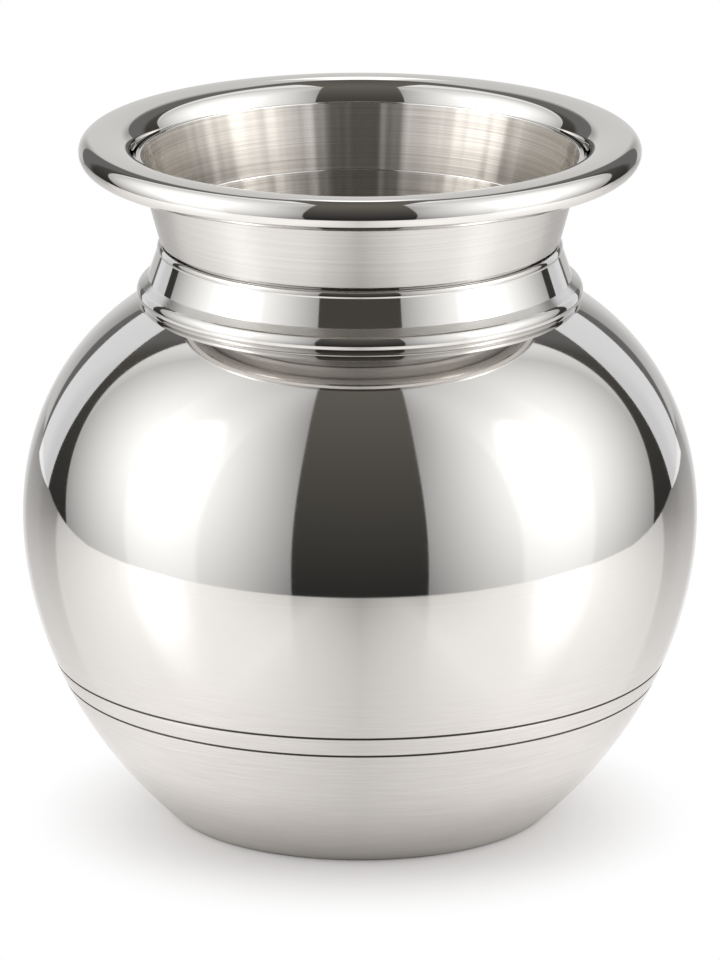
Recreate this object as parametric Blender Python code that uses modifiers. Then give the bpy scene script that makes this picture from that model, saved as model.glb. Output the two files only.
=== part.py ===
"""Ritual water pot in stainless steel, put together from spun and pressed sheet rings.

Every sheet piece is turned about the Z axis from a section in the (radius, height) plane.
A section is a path along one face of the sheet, with the sheet laid off to the right of it,
so a path runs down a face that looks outwards and up a face that looks at the axis.
From the table up: the lower bowl, the shoulder dome lapped over its lip at the belly, the
collar seated on the throat, the neck funnel sleeved over the collar, and the mouth rim
sleeved over the neck, with its edge curled round a wire hoop.
"""
import math

import bpy

MM = 0.001

# Sheet and seams
SHEET = 0.8 * MM               # wall of every spun piece
FIT = 0.3 * MM                 # gap between two pieces that seat on each other
BELLY_LAP = 5.0 * MM           # how far the bowl's lip stands up inside the shoulder
COLLAR_LAP = 3.3 * MM          # how far the collar stands up inside the neck
RIM_LAP = 3.0 * MM             # how far the rim's skirt hangs down round the neck

# Body
BELLY_RADIUS = 55.0 * MM       # widest ring of the body
BELLY_HEIGHT = 50.0 * MM       # height of that ring, where bowl and shoulder meet
BELLY_LOWER_PULL = 15.0 * MM   # how long the wall keeps upright below the belly
BELLY_UPPER_PULL = 14.4 * MM   # how long it keeps upright above the belly
BASE_RADIUS = 30.75 * MM       # where the wall would meet the table
BASE_PULL = 23.4 * MM          # how long the wall keeps the base angle
BASE_ANGLE = math.radians(41.4)
BASE_BEND = 1.5 * MM           # rounding of the base edge
SHOULDER_RISE = 35.85 * MM     # belly up to the collar's seat
SHOULDER_PULL = 15.35 * MM     # how long the wall keeps the shoulder angle
SHOULDER_ANGLE = math.radians(31.0)

# Raised floor inside the ring that the pot stands on
STANDING_WIDTH = 5.0 * MM
FLOOR_STEP_WIDTH = 2.5 * MM
FLOOR_RISE = 0.8 * MM

# Lines cut into the outside of the body
GROOVE_HEIGHT = 26.7 * MM      # height of the upper groove
GROOVE_SPACING = 3.35 * MM     # down to the lower groove
GROOVE_WIDTH = 0.5 * MM
GROOVE_DEPTH = 0.25 * MM

# Throat of the shoulder, under and inside the collar
THROAT_RADIUS = 33.2 * MM      # outside of the upstand
SEAT_WIDTH = 2.3 * MM          # flat ring that the collar sits on
SEAT_BEND = 0.8 * MM

# Collar
BEAD_RISE = 2.7 * MM
BEAD_BULGE = 0.7 * MM
LEDGE_RISE = 1.05 * MM         # bead up to the band
LEDGE_WIDTH = 1.15 * MM        # band out to the bead
BAND_RISE = 5.7 * MM           # ledge up to the top of the lip
BAND_TAPER = 1.95 * MM         # radius that the band loses on the way up
LIP_RISE = 1.2 * MM            # rounded lip at the top of the band
LIP_STANDOUT = 0.2 * MM

# Neck and mouth
NECK_RISE = 14.0 * MM
NECK_FLARE = 3.8 * MM          # radius that the neck gains on the way up
WIRE_RADIUS = 1.4 * MM         # hoop inside the rolled edge
RIM_REACH = 6.8 * MM           # neck out to the hoop's centre line
RIM_LIFT = 0.8 * MM            # neck's top edge up to the hoop's centre line
CREST_WIDTH = 2.8 * MM         # level top of the rim, inside the hoop
RIM_SLOPE_PULL = 2.0 * MM      # roundness of the slope into the mouth
CURL_TURN = math.radians(285)  # how far the edge is curled round the hoop

# Facets
TURN_STEPS = 48
WALL_STEPS = 10
CURVE_STEPS = 5
BEND_STEPS = 2
CURL_STEPS = 11
HOOP_SIDES = 8
FINE_STEPS = 120               # for finding a point on a curve, not for facets
SHARP_ANGLE = math.radians(30)
MERGE_DISTANCE = 0.01 * MM

# Finishes
BRIGHT_STEEL = (0.64, 0.63, 0.61)
WARM_STEEL = (0.60, 0.58, 0.55)
MIRROR_ROUGHNESS = 0.05
SATIN_ROUGHNESS = 0.3

# Heights and radii worked out from the sizes above
SEAT_RADIUS = THROAT_RADIUS + SEAT_WIDTH
SEAT_HEIGHT = BELLY_HEIGHT + SHOULDER_RISE
COLLAR_FOOT = SEAT_HEIGHT + FIT
BEAD_TOP = COLLAR_FOOT + BEAD_RISE
BAND_FOOT = BEAD_TOP + LEDGE_RISE
BAND_TOP = BAND_FOOT + BAND_RISE
NECK_FOOT = BAND_TOP + FIT
NECK_TOP = NECK_FOOT + NECK_RISE
ROLL_HEIGHT = NECK_TOP + RIM_LIFT
BAND_LEAN = math.atan2(BAND_TAPER, BAND_RISE)
BAND_FOOT_RADIUS = THROAT_RADIUS + FIT + SHEET / math.cos(BAND_LEAN)
BEAD_EDGE_RADIUS = BAND_FOOT_RADIUS + LEDGE_WIDTH
NECK_FOOT_RADIUS = BAND_FOOT_RADIUS - BAND_TAPER
NECK_LEAN = math.atan2(NECK_FLARE, NECK_RISE)
ROLL_RADIUS = WIRE_RADIUS + FIT + SHEET
ROLL_CENTRE = NECK_FOOT_RADIUS + NECK_FLARE + RIM_REACH
BEAD_PULL = BEAD_BULGE * 4 / 3  # a cubic curve bulges by three quarters of its two pulls


def bezier(start, start_pull, end_pull, end, steps):
    """Points of a cubic curve from start to end, which the two pulls draw towards them."""
    points = []
    for step in range(steps + 1):
        t = step / steps
        weights = ((1 - t) ** 3, 3 * (1 - t) ** 2 * t, 3 * (1 - t) * t ** 2, t ** 3)
        corners = (start, start_pull, end_pull, end)
        points.append(tuple(sum(w * c[axis] for w, c in zip(weights, corners)) for axis in (0, 1)))
    return points


def arc(centre, radius, start, turn_angle, steps):
    """Points of an arc that turns clockwise from the start angle."""
    points = []
    for step in range(steps + 1):
        angle = start - turn_angle * step / steps
        points.append((centre[0] + radius * math.cos(angle), centre[1] + radius * math.sin(angle)))
    return points


def toward(point, angle, distance):
    """The point reached from a point by going a distance at an angle above the outward level."""
    return (point[0] + distance * math.cos(angle), point[1] + distance * math.sin(angle))


def bent(before, corner, after, radius):
    """Points that round a corner to a bend radius, within the straights beside it."""
    entering = math.atan2(before[1] - corner[1], before[0] - corner[0])
    leaving = math.atan2(after[1] - corner[1], after[0] - corner[0])
    half = abs(math.remainder(leaving - entering, math.tau)) / 2
    room = min(math.dist(before, corner), math.dist(after, corner))
    cut = min(radius / math.tan(half), room)
    start = toward(corner, entering, cut)
    end = toward(corner, leaving, cut)
    return bezier(start, corner, corner, end, BEND_STEPS)


def beside(path, distance):
    """The path moved sideways, to the right of the way it runs."""
    moved = []
    for index, point in enumerate(path):
        behind = path[max(index - 1, 0)]
        here = path[index]
        ahead = path[min(index + 1, len(path) - 1)]
        into = math.atan2(here[1] - behind[1], here[0] - behind[0])
        out = math.atan2(ahead[1] - here[1], ahead[0] - here[0])
        if index == 0:
            into = out
        if index == len(path) - 1:
            out = into
        half_turn = math.remainder(out - into, math.tau) / 2
        side = into + half_turn - math.pi / 2
        moved.append(toward(point, side, distance / math.cos(half_turn)))
    return moved


def neck_radius(height):
    """Radius of the outside of the neck at a height."""
    return NECK_FOOT_RADIUS + (height - NECK_FOOT) * math.tan(NECK_LEAN)


def shoulder_curve(steps):
    """The outside of the shoulder, from the collar's seat down to the belly."""
    seat_edge = (SEAT_RADIUS, SEAT_HEIGHT)
    belly = (BELLY_RADIUS, BELLY_HEIGHT)
    leaving = toward(seat_edge, -SHOULDER_ANGLE, SHOULDER_PULL)
    arriving = (BELLY_RADIUS, BELLY_HEIGHT + BELLY_UPPER_PULL)
    return bezier(seat_edge, leaving, arriving, belly, steps)


def point_at_height(curve, height):
    """The point where a falling curve passes a height."""
    for above, below in zip(curve, curve[1:]):
        if below[1] <= height <= above[1]:
            share = (above[1] - height) / (above[1] - below[1])
            return (above[0] + share * (below[0] - above[0]), height)
    return curve[-1]


def bowl_curve(steps):
    """The outside of the bowl, from the belly down to where it would meet the table."""
    belly = (BELLY_RADIUS, BELLY_HEIGHT)
    base = (BASE_RADIUS, 0.0)
    leaving = (BELLY_RADIUS, BELLY_HEIGHT - BELLY_LOWER_PULL)
    arriving = toward(base, BASE_ANGLE, BASE_PULL)
    return bezier(belly, leaving, arriving, base, steps)


def bowl_outline():
    """Section of the lower bowl: lip inside the shoulder, wall with grooves, raised floor."""
    shoulder = shoulder_curve(FINE_STEPS)
    lap_faces = [point_at_height(shoulder, BELLY_HEIGHT + BELLY_LAP), (BELLY_RADIUS, BELLY_HEIGHT)]
    lip = beside(lap_faces, SHEET + FIT)
    lip[-1] = (lip[-1][0], BELLY_HEIGHT)

    wall = bowl_curve(WALL_STEPS)
    step_inner = BASE_RADIUS - STANDING_WIDTH - FLOOR_STEP_WIDTH
    standing_edge = (BASE_RADIUS - STANDING_WIDTH, 0.0)
    base = bent(wall[-2], wall[-1], standing_edge, BASE_BEND)
    floor = [standing_edge, (step_inner, FLOOR_RISE), (0.0, FLOOR_RISE)]
    plain = lip + wall[:-1] + base + floor

    smooth_wall = bowl_curve(FINE_STEPS)
    cut = []
    for height in (GROOVE_HEIGHT, GROOVE_HEIGHT - GROOVE_SPACING):
        bottom = point_at_height(smooth_wall, height)
        cut.append(point_at_height(smooth_wall, height + GROOVE_WIDTH / 2))
        cut.append((bottom[0] - GROOVE_DEPTH, height))
        cut.append(point_at_height(smooth_wall, height - GROOVE_WIDTH / 2))
    above = [point for point in wall if point[1] > cut[0][1] + GROOVE_WIDTH]
    below = [point for point in wall[:-1] if point[1] < cut[-1][1] - GROOVE_WIDTH]
    outside = lip + above + cut + below + base + floor
    return outside + beside(plain, SHEET)[::-1]


def shoulder_outline():
    """Section of the shoulder dome: upstand in the collar, flat seat and dome."""
    upstand_top = (THROAT_RADIUS, BAND_FOOT - FIT)
    root = (THROAT_RADIUS, SEAT_HEIGHT)
    dome = shoulder_curve(WALL_STEPS)
    dome[-1] = (BELLY_RADIUS, BELLY_HEIGHT + FIT)
    outside = [upstand_top] + bent(upstand_top, root, dome[0], SEAT_BEND) + dome
    return outside + beside(outside, SHEET)[::-1]


def collar_outline():
    """Section of the collar: upstand in the neck, rounded lip, band, ledge, hollow bead, foot."""
    upstand_gap = (SHEET + FIT) / math.cos(NECK_LEAN)
    upstand_top = (neck_radius(NECK_FOOT + COLLAR_LAP) - upstand_gap, NECK_FOOT + COLLAR_LAP)
    upstand_root = (neck_radius(BAND_TOP) - upstand_gap, BAND_TOP)
    lip_corner = (NECK_FOOT_RADIUS, BAND_TOP)
    band_foot = (BAND_FOOT_RADIUS, BAND_FOOT)
    bead_top = (BEAD_EDGE_RADIUS, BEAD_TOP)
    bead_middle = (BEAD_EDGE_RADIUS + BEAD_BULGE, (BEAD_TOP + COLLAR_FOOT) / 2)
    bead_foot = (BEAD_EDGE_RADIUS, COLLAR_FOOT)
    foot_edge = (THROAT_RADIUS + FIT, COLLAR_FOOT)
    plain = [upstand_top, upstand_root, lip_corner, band_foot, bead_top, bead_middle, bead_foot, foot_edge]

    band_top = (NECK_FOOT_RADIUS + LIP_RISE * math.tan(BAND_LEAN), BAND_TOP - LIP_RISE)
    lip_bulge = (band_top[0] + LIP_STANDOUT, BAND_TOP - LIP_RISE / 2)
    lip_level = (NECK_FOOT_RADIUS + LIP_STANDOUT, BAND_TOP)
    lip_start = (lip_corner[0] - LIP_STANDOUT, BAND_TOP)
    lip = bezier(lip_start, lip_level, lip_bulge, band_top, 2 * BEND_STEPS)
    bead_out = (BEAD_EDGE_RADIUS + BEAD_PULL, BEAD_TOP - BEAD_RISE / 4)
    bead_in = (BEAD_EDGE_RADIUS + BEAD_PULL, COLLAR_FOOT + BEAD_RISE / 4)
    bead = bezier(bead_top, bead_out, bead_in, bead_foot, CURVE_STEPS + 1)
    outside = [upstand_top, upstand_root] + lip + [band_foot] + bead + [foot_edge]
    return outside + beside(plain, SHEET)[::-1]


def neck_outline():
    """Section of the neck funnel: a plain cone of sheet."""
    outside = [(neck_radius(NECK_TOP), NECK_TOP), (neck_radius(NECK_FOOT), NECK_FOOT)]
    return outside + beside(outside, SHEET)[::-1]


def rim_outline():
    """Section of the mouth rim: skirt round the neck, slope, level crest and curled edge."""
    skirt_gap = FIT / math.cos(NECK_LEAN)
    skirt_foot = (neck_radius(NECK_TOP - RIM_LAP) + skirt_gap, NECK_TOP - RIM_LAP)
    slope_foot = (neck_radius(NECK_TOP) + skirt_gap, NECK_TOP)
    crest_start = (ROLL_CENTRE - CREST_WIDTH, ROLL_HEIGHT + ROLL_RADIUS)
    rising = toward(slope_foot, math.pi / 2 - NECK_LEAN, RIM_SLOPE_PULL)
    levelling = (crest_start[0] - RIM_SLOPE_PULL, crest_start[1])
    slope = bezier(slope_foot, rising, levelling, crest_start, CURVE_STEPS)
    curl = arc((ROLL_CENTRE, ROLL_HEIGHT), ROLL_RADIUS, math.pi / 2, CURL_TURN, CURL_STEPS)
    face = [skirt_foot] + slope + curl
    return face + beside(face, SHEET)[::-1]


def steel(name, colour, roughness):
    """Bare steel with its own finish."""
    material = bpy.data.materials.new(name)
    material.use_nodes = True
    shader = material.node_tree.nodes["Principled BSDF"]
    shader.inputs["Base Color"].default_value = (*colour, 1.0)
    shader.inputs["Metallic"].default_value = 1.0
    shader.inputs["Roughness"].default_value = roughness
    return material


def finish(piece, material, pot, stand):
    """File a piece under the pot, with its material and smooth shading between sharp edges."""
    for collection in piece.users_collection:
        collection.objects.unlink(piece)
    pot.objects.link(piece)
    piece.parent = stand
    piece.data.materials.clear()
    piece.data.materials.append(material)
    piece.data.shade_smooth()
    piece.data.set_sharp_from_angle(angle=SHARP_ANGLE)


def turned(name, outline):
    """A piece turned about the Z axis from its outline, which may be open at the axis."""
    count = len(outline)
    edges = []
    for index in range(count):
        after = (index + 1) % count
        along_axis = outline[index][0] == 0 and outline[after][0] == 0
        if not along_axis:
            edges.append((index, after))
    profile = bpy.data.meshes.new(name + "_profile")
    profile.from_pydata([(radius, 0.0, height) for radius, height in outline], edges, [])
    piece = bpy.data.objects.new(name, profile)
    bpy.context.scene.collection.objects.link(piece)
    screw = piece.modifiers.new("Turned", "SCREW")
    screw.axis = "Z"
    screw.angle = math.tau
    screw.steps = TURN_STEPS
    screw.render_steps = TURN_STEPS
    screw.use_merge_vertices = True
    screw.merge_threshold = MERGE_DISTANCE

    evaluated = piece.evaluated_get(bpy.context.evaluated_depsgraph_get())
    piece.data = bpy.data.meshes.new_from_object(evaluated)
    piece.data.name = name
    piece.modifiers.clear()
    bpy.data.meshes.remove(profile)
    return piece


def hoop(name):
    """The wire hoop that stiffens the rolled edge of the mouth."""
    bpy.ops.mesh.primitive_torus_add(
        major_radius=ROLL_CENTRE, minor_radius=WIRE_RADIUS,
        major_segments=TURN_STEPS, minor_segments=HOOP_SIDES,
        location=(0.0, 0.0, ROLL_HEIGHT))
    piece = bpy.context.object
    piece.name = name
    piece.data.name = name
    return piece


def main():
    for old in list(bpy.data.objects):
        bpy.data.objects.remove(old)
    pot = bpy.data.collections.new("ritual_water_pot")
    bpy.context.scene.collection.children.link(pot)
    stand = bpy.data.objects.new("pot_base_centre", None)
    pot.objects.link(stand)

    mirrored = {
        "lower_bowl": bowl_outline(),
        "shoulder_dome": shoulder_outline(),
        "neck_collar": collar_outline(),
        "mouth_rim": rim_outline(),
    }
    for name, outline in mirrored.items():
        finish(turned(name, outline), steel("polished " + name, BRIGHT_STEEL, MIRROR_ROUGHNESS), pot, stand)
    neck_steel = steel("satin neck_funnel", WARM_STEEL, SATIN_ROUGHNESS)
    finish(turned("neck_funnel", neck_outline()), neck_steel, pot, stand)
    wire_steel = steel("drawn rim_wire", WARM_STEEL, SATIN_ROUGHNESS)
    finish(hoop("rim_wire"), wire_steel, pot, stand)


main()
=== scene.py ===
# %% [markdown]
# # A ritual water pot in polished steel
# The pot is a small round-bellied vessel of stainless steel sheet. It was pressed and spun in rings,
# which were lapped, welded and then polished, so every surface is a surface of revolution and nearly
# every surface is a mirror. This lesson builds the rings as turned sheets inside a fixed frame, gives
# each one its own finish, and sets up the dim room with white sheets that the steel reflects.

# %% Load the fixed frame
import math

import bpy
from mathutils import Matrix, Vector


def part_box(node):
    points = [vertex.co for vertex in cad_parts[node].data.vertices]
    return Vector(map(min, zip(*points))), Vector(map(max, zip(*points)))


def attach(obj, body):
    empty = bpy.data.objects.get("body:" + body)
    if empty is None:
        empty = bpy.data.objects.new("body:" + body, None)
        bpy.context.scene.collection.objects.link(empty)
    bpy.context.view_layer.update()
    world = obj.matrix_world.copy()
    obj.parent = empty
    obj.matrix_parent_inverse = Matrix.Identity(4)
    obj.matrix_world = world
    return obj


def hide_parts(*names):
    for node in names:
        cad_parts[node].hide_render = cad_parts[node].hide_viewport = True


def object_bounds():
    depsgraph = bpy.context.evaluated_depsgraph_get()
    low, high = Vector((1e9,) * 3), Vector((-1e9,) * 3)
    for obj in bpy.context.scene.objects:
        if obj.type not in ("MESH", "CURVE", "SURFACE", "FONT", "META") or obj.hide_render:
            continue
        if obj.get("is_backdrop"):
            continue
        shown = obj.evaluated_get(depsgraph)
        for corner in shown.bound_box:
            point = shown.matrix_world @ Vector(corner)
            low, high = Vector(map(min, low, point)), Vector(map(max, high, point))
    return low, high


MM = 0.001
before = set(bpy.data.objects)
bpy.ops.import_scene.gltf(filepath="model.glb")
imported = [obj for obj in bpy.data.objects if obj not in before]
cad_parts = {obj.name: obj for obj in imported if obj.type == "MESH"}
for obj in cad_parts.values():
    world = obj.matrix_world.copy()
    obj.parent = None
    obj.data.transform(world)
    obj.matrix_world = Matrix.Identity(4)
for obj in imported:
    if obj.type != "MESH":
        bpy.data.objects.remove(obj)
cad_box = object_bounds()
print("nodes in the frame:", ", ".join(sorted(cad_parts)))

# %% [markdown]
# ## Sizes
# The places where rings meet are read from the frame, so the dressed pot stays on the measured one.
# The sizes that a box can't show, such as how round a curve is, are written in millimetres where a
# ring is turned.

# %% Read the main sizes from the frame
_, bowl_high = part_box("lower_bowl")
dome_low, dome_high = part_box("shoulder_dome")
collar_low, collar_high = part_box("neck_collar")
neck_low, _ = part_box("neck_funnel")
wire_low, wire_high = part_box("rim_wire")

SHEET = 0.8 * MM
FIT = 0.3 * MM
BELLY_RADIUS = bowl_high.x
BELLY_HEIGHT = dome_low.z - FIT
LAP_TOP = bowl_high.z
COLLAR_FOOT = collar_low.z
SEAT_HEIGHT = COLLAR_FOOT - FIT
UPSTAND_TOP = dome_high.z
BAND_FOOT = UPSTAND_TOP + FIT
NECK_FOOT = neck_low.z
BAND_TOP = NECK_FOOT - FIT
WIRE_RADIUS = (wire_high.z - wire_low.z) / 2
ROLL_HEIGHT = (wire_high.z + wire_low.z) / 2
ROLL_CENTRE = wire_high.x - WIRE_RADIUS
ROLL_RADIUS = WIRE_RADIUS + FIT + SHEET
print(f"belly {2 * BELLY_RADIUS / MM:.1f} mm across at {BELLY_HEIGHT / MM:.1f} mm above the table")

# %% [markdown]
# ## Camera
# A product photographer stands well back with a long lens, so the pot shows almost no perspective.
# The camera is aimed at the pot's middle and looks down on it by about sixteen degrees.

# %% Place the camera
AIM_HEIGHT = 55.18 * MM
CAMERA_DISTANCE = 1468 * MM
CAMERA_ELEVATION = math.radians(15.98)
LENS = 337.5
SENSOR = 36.0

camera_data = bpy.data.cameras.new("long lens")
camera_data.lens = LENS
camera_data.sensor_width = SENSOR
camera = bpy.data.objects.new("camera", camera_data)
camera.location = (
    0.0,
    -CAMERA_DISTANCE * math.cos(CAMERA_ELEVATION),
    AIM_HEIGHT + CAMERA_DISTANCE * math.sin(CAMERA_ELEVATION),
)
camera.rotation_euler = (math.pi / 2 - CAMERA_ELEVATION, 0.0, 0.0)
bpy.context.scene.collection.objects.link(camera)
bpy.context.scene.camera = camera
bpy.context.scene.view_settings.view_transform = "Standard"
print("camera at", [round(value, 3) for value in camera.location])

# %% [markdown]
# ## Nodes and colours
# Materials and the room are node graphs. One small function adds a node, sets its properties and
# fills its inputs with plain values or with other nodes' outputs. It returns an output socket, so a
# graph reads like a chain of calls. Colours are written as sRGB hex values and turned to linear here.

# %% Helpers for node graphs
MIX_FACTOR, MIX_A, MIX_B, MIX_COLOUR = 0, 6, 7, 2


def add(tree, kind, inputs=None, output=0, **settings):
    """Add a node with its settings, fill or link its inputs, and return one of its outputs."""
    node = tree.nodes.new(kind)
    for name, value in settings.items():
        setattr(node, name, value)
    for name, value in (inputs or {}).items():
        if isinstance(value, bpy.types.NodeSocket):
            tree.links.new(value, node.inputs[name])
        else:
            node.inputs[name].default_value = value
    return node.outputs[output] if node.outputs else node


def linear(hex_colour):
    """An sRGB hex colour as linear red, green, blue and alpha."""
    channels = []
    for start in (1, 3, 5):
        value = int(hex_colour[start:start + 2], 16) / 255
        channels.append(value / 12.92 if value <= 0.04045 else ((value + 0.055) / 1.055) ** 2.4)
    return (*channels, 1.0)


print("middle grey #808080 is", round(linear("#808080")[0], 3), "in linear light")

# %% [markdown]
# ## The room that the steel reflects
# Polished steel has almost no colour of its own: it shows the room. Small bright metalware is shot in
# a dim room between big sheets of white cloth that are lit from behind. Here one sheet hangs on each
# side and meets the other overhead. The gap between them, where the lens looks in, reflects as the dark
# strip down the middle of the belly. Lamps and planes could make such a room, but a world painted by
# direction is quicker to render and stands in no view's way. The left and right half are alike, so the
# sideways part of a direction is used without its sign. The lens itself sees plain white.

# %% Measure the direction
DEGREE = math.radians(1)

world = bpy.data.worlds.new("dim room with white sheets")
world.use_nodes = True
bpy.context.scene.world = world
room = world.node_tree
room.nodes.clear()

direction = add(room, "ShaderNodeTexCoord").node.outputs["Generated"]
axes = add(room, "ShaderNodeSeparateXYZ", {"Vector": direction}).node.outputs
rearward, upward = axes["Y"], axes["Z"]
side = add(room, "ShaderNodeMath", {0: axes["X"]}, operation="ABSOLUTE")
forward = add(room, "ShaderNodeMath", {0: rearward, 1: -1.0}, operation="MULTIPLY")
around = add(room, "ShaderNodeMath", {0: side, 1: forward}, operation="ARCTAN2")
above = add(room, "ShaderNodeMath", {0: upward}, operation="ARCSINE")


def beyond(value, edge, softness):
    """A mask that turns on where a value passes an edge. Either may be a number or a socket."""
    excess = add(room, "ShaderNodeMath", {0: value, 1: edge}, operation="SUBTRACT")
    return add(room, "ShaderNodeMapRange", {"Value": excess, "From Min": -softness, "From Max": softness},
               interpolation_type="SMOOTHSTEP")


def hang(under, colour, level, *masks):
    """Hang something of a colour and a light level in front of the room, where all masks are on."""
    shade = add(room, "ShaderNodeVectorMath", {0: linear(colour)[:3], "Scale": level}, operation="SCALE")
    shape = masks[0]
    for mask in masks[1:]:
        shape = add(room, "ShaderNodeMath", {0: shape, 1: mask}, operation="MULTIPLY")
    return add(room, "ShaderNodeMix", {MIX_FACTOR: shape, MIX_A: under, MIX_B: shade},
               output=MIX_COLOUR, data_type="RGBA")


def apart(turned_by, raised_by, width, height):
    """How far a direction is from a place on a sheet, counted in widths and heights."""
    across = add(room, "ShaderNodeMath", {0: turned_by, 1: width}, operation="DIVIDE")
    up = add(room, "ShaderNodeMath", {0: raised_by, 1: height}, operation="DIVIDE")
    offset = add(room, "ShaderNodeCombineXYZ", {"X": across, "Y": up})
    return add(room, "ShaderNodeVectorMath", {0: offset}, output=1, operation="LENGTH")


print("directions measured with", len(room.nodes), "nodes")

# %% [markdown]
# ## The big sheets
# Each sheet is brightest where its lamp stands behind it, low and to the side, and gets steadily dimmer
# away from there. That is why the belly shades from grey at the dark strip to white and back to grey.
# The fade could be a lamp's real falloff, but a straight fade with a least level is easier to match.

# %% Light the big sheets
LAMP_AROUND = 73 * DEGREE
LAMP_ABOVE = 22 * DEGREE
LAMP_LEAN = 0.4
FADE_AROUND = 50 * DEGREE
FADE_ABOVE = 65 * DEGREE
SHEET_LEVEL = 1.98
SHEET_FADE = -1.444
SHEET_LEAST = 0.3
ROOF_LEVEL = 1.1
ROOF_AROUND = 125 * DEGREE
ROOF_SOFTNESS = 15 * DEGREE

to_front = add(room, "ShaderNodeMath", {0: LAMP_AROUND, 1: around}, operation="SUBTRACT")
to_front = add(room, "ShaderNodeMath", {0: to_front, 1: 0.0}, operation="MAXIMUM")
lamp_back = add(room, "ShaderNodeMath", {0: above, 1: LAMP_LEAN, 2: LAMP_AROUND}, operation="MULTIPLY_ADD")
to_back = add(room, "ShaderNodeMath", {0: around, 1: lamp_back}, operation="SUBTRACT")
to_back = add(room, "ShaderNodeMath", {0: to_back, 1: 0.0}, operation="MAXIMUM")
sideways = add(room, "ShaderNodeMath", {0: to_front, 1: to_back}, operation="ADD")
upwards = add(room, "ShaderNodeMath", {0: above, 1: LAMP_ABOVE}, operation="SUBTRACT")
from_lamp = apart(sideways, upwards, FADE_AROUND, FADE_ABOVE)
sheet_level = add(room, "ShaderNodeMath", {0: from_lamp, 1: SHEET_FADE, 2: SHEET_LEVEL},
                  operation="MULTIPLY_ADD")
roof = beyond(around, ROOF_AROUND, ROOF_SOFTNESS)
least = add(room, "ShaderNodeMapRange", {"Value": roof, "To Min": SHEET_LEAST, "To Max": ROOF_LEVEL})
sheet_level = add(room, "ShaderNodeMath", {0: sheet_level, 1: least}, operation="MAXIMUM")
print("sheet level from", SHEET_LEAST, "to", SHEET_LEVEL)

# %% [markdown]
# ## The lamp behind each sheet
# A lamp close behind thin cloth burns through as a soft bright core, and its square front shows faintly
# round that. Both are added to the sheet's level, so the core reflects as the whitest place on the belly.

# %% Let the lamps show through
CORE_AROUND = 73 * DEGREE
CORE_ABOVE = 25 * DEGREE
CORE_LEVEL = 2.5
CORE_WIDTH = 9 * DEGREE
CORE_HEIGHT = 16 * DEGREE
CORE_EDGE = 1.0
CORE_SOFTNESS = 0.7
SQUARE_LEVEL = 0.16
SQUARE_AROUND = (56.5 * DEGREE, 87 * DEGREE)
SQUARE_LEAN = LAMP_LEAN / 2
SQUARE_SOFTNESS = 1.5 * DEGREE
SQUARE_TOP = 45 * DEGREE
SQUARE_TOP_SOFTNESS = 15 * DEGREE

sideways = add(room, "ShaderNodeMath", {0: around, 1: CORE_AROUND}, operation="SUBTRACT")
upwards = add(room, "ShaderNodeMath", {0: above, 1: CORE_ABOVE}, operation="SUBTRACT")
from_core = apart(sideways, upwards, CORE_WIDTH, CORE_HEIGHT)
core = beyond(CORE_EDGE, from_core, CORE_SOFTNESS)
sheet_level = add(room, "ShaderNodeMath", {0: core, 1: CORE_LEVEL, 2: sheet_level}, operation="MULTIPLY_ADD")

square_end = add(room, "ShaderNodeMath", {0: above, 1: SQUARE_LEAN, 2: SQUARE_AROUND[1]},
                 operation="MULTIPLY_ADD")
square = add(room, "ShaderNodeMath", {0: beyond(around, SQUARE_AROUND[0], SQUARE_SOFTNESS),
                                      1: beyond(square_end, around, SQUARE_SOFTNESS)}, operation="MULTIPLY")
square = add(room, "ShaderNodeMath", {0: square, 1: beyond(SQUARE_TOP, above, SQUARE_TOP_SOFTNESS)},
             operation="MULTIPLY")
sheet_level = add(room, "ShaderNodeMath", {0: square, 1: SQUARE_LEVEL, 2: sheet_level},
                  operation="MULTIPLY_ADD")
print("lamp core adds", CORE_LEVEL, "and its square", SQUARE_LEVEL)

# %% [markdown]
# ## Edges of the sheets
# The gap in front is as wide as a wall opening up to head height and narrows where the sheets lean
# together overhead. Behind the pot the sheets end along a slanting line. Both edges are straight lines
# in the room, so they are written with the parts of a direction and not with angles.

# %% Hang the sheets in the dim room
ROOM_LOW = "#333332"
ROOM_HIGH = "#76726c"
ROOM_HEIGHTS = (-12 * DEGREE, 90 * DEGREE)
CLOTH = "#ffffff"
GAP_WALL = 0.421
GAP_ROOF = 0.214
GAP_OVERHEAD = 0.152
GAP_BEND = 0.28
GAP_SOFTNESS = 0.004
SHEET_END_SIDE = 0.6
SHEET_END_HEIGHT = 0.4
SHEET_END_SOFTNESS = 0.008
SHEET_END_TOP = 54 * DEGREE
SHEET_TOP_SOFTNESS = 0.02

dim = add(room, "ShaderNodeMapRange",
          {"Value": above, "From Min": ROOM_HEIGHTS[0], "From Max": ROOM_HEIGHTS[1]})
studio = add(room, "ShaderNodeMix", {MIX_FACTOR: dim, MIX_A: linear(ROOM_LOW), MIX_B: linear(ROOM_HIGH)},
             output=MIX_COLOUR, data_type="RGBA")

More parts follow.
